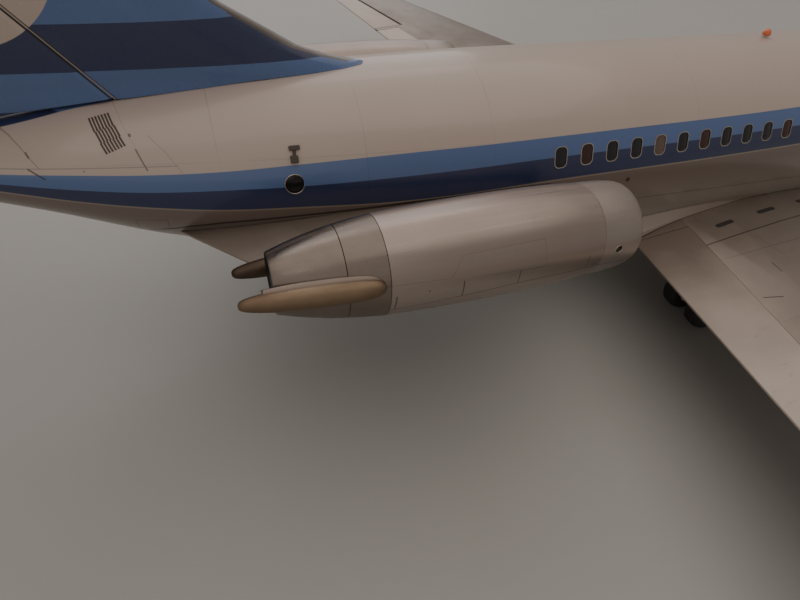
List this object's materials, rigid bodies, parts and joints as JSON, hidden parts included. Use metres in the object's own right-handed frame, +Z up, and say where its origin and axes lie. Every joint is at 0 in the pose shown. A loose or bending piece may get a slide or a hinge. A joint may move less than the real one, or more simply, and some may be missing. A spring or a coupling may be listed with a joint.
{
  "type": "scale model of a narrow body airliner",
  "caption": "Display model of a T-tailed narrow body jet airliner on its undercarriage, with rolling wheels, nose steering and hinged rudder, elevators and ailerons.",
  "frame": {"origin": "middle of the bounding box in plan, on the floor under the wheels", "axes": "+X forward along the fuselage, +Y to port, +Z up"},
  "size_m": [0.636, 0.545, 0.1679],
  "materials": {
    "cream_paint": "gloss paint with livery bands",
    "navy_paint": "gloss paint",
    "silver_paint": "satin metallic paint",
    "polished_metal": "polished",
    "bronze_metal": "satin",
    "steel": "satin",
    "dark_core": "matte",
    "dark_glass": "gloss",
    "tyre": "matte",
    "red_lens": "clear gloss"
  },
  "bodies": {
    "airframe": {"nose_cone": "cream_paint", "fuselage": "cream_paint", "windscreen": "dark_glass", "tail_cone": "cream_paint", "wing_fairing": "silver_paint", "wing_left": "silver_paint", "wing_right": "silver_paint", "flap_left": "silver_paint", "flap_right": "silver_paint", "fin": "navy_paint", "fin_bullet": "cream_paint", "tailplane_left": "silver_paint", "tailplane_right": "silver_paint", "intake_lip_left": "polished_metal", "intake_lip_right": "polished_metal", "cowl_left": "silver_paint", "cowl_right": "silver_paint", "tail_ring_left": "polished_metal", "tail_ring_right": "polished_metal", "bucket_top_left": "polished_metal", "bucket_top_right": "polished_metal", "bucket_bottom_left": "polished_metal", "bucket_bottom_right": "polished_metal", "stang_outer_left": "bronze_metal", "stang_outer_right": "bronze_metal", "stang_inner_left": "bronze_metal", "stang_inner_right": "bronze_metal", "nozzle_left": "polished_metal", "nozzle_right": "polished_metal", "engine_left": "dark_core", "engine_right": "dark_core", "pylon_left": "silver_paint", "pylon_right": "silver_paint", "main_leg_left": "steel", "main_leg_right": "steel", "main_brace_left": "steel", "main_brace_right": "steel", "main_door_left": "silver_paint", "main_door_right": "silver_paint", "nose_leg_housing": "steel", "nose_door_left": "silver_paint", "nose_door_right": "silver_paint", "beacon_top": "red_lens", "beacon_bottom": "red_lens", "aerial_top": "cream_paint", "aerial_bottom": "cream_paint"},
    "steered_leg": {"nose_leg_fork": "steel"},
    "nose_wheels": {"nose_wheel_left": "tyre", "nose_wheel_right": "tyre"},
    "main_wheels_left": {"main_wheel_left_outer": "tyre", "main_wheel_left_inner": "tyre"},
    "main_wheels_right": {"main_wheel_right_outer": "tyre", "main_wheel_right_inner": "tyre"},
    "rudder": {"rudder": "navy_paint"},
    "elevator_left": {"elevator_left": "silver_paint"},
    "elevator_right": {"elevator_right": "silver_paint"},
    "aileron_left": {"aileron_left": "silver_paint"},
    "aileron_right": {"aileron_right": "silver_paint"}
  },
  "joints": [
    {"name": "nose_steering", "type": "hinge", "parent": "airframe", "child": "steered_leg", "pos_m": [0.2714, 0, 0.0153], "axis": [0, 0, 1], "range_deg": [-80, 80]},
    {"name": "nose_wheel_roll", "type": "hinge", "parent": "steered_leg", "child": "nose_wheels", "pos_m": [0.2714, 0, 0.0066], "axis": [0, 1, 0], "continuous": true},
    {"name": "main_wheel_roll_left", "type": "hinge", "parent": "airframe", "child": "main_wheels_left", "pos_m": [0.0094, 0.05, 0.0102], "axis": [0, 1, 0], "continuous": true},
    {"name": "main_wheel_roll_right", "type": "hinge", "parent": "airframe", "child": "main_wheels_right", "pos_m": [0.0094, -0.05, 0.0102], "axis": [0, 1, 0], "continuous": true},
    {"name": "rudder_hinge", "type": "hinge", "parent": "airframe", "child": "rudder", "pos_m": [-0.1862, 0, 0.084], "axis": [-0.6051, 0, 0.7962], "range_deg": [-21, 21]},
    {"name": "elevator_hinge_left", "type": "hinge", "parent": "airframe", "child": "elevator_left", "pos_m": [-0.27034, 0.01, 0.1615], "axis": [-0.3584, 0.9336, 0], "range_deg": [-16, 27]},
    {"name": "elevator_hinge_right", "type": "hinge", "parent": "airframe", "child": "elevator_right", "pos_m": [-0.27034, -0.01, 0.1615], "axis": [0.3584, 0.9336, 0], "range_deg": [-16, 27]},
    {"name": "aileron_hinge_left", "type": "hinge", "parent": "airframe", "child": "aileron_left", "pos_m": [-0.03636, 0.19, 0.04202], "axis": [-0.2643, 0.9628, 0.0558], "range_deg": [-20, 20]},
    {"name": "aileron_hinge_right", "type": "hinge", "parent": "airframe", "child": "aileron_right", "pos_m": [-0.03636, -0.19, 0.04202], "axis": [0.2643, 0.9628, -0.0558], "range_deg": [-20, 20]}
  ],
  "couplings": [
    {"joint": "elevator_hinge_right", "follows": "elevator_hinge_left", "ratio": 1},
    {"joint": "aileron_hinge_right", "follows": "aileron_hinge_left", "ratio": -1}
  ]
}
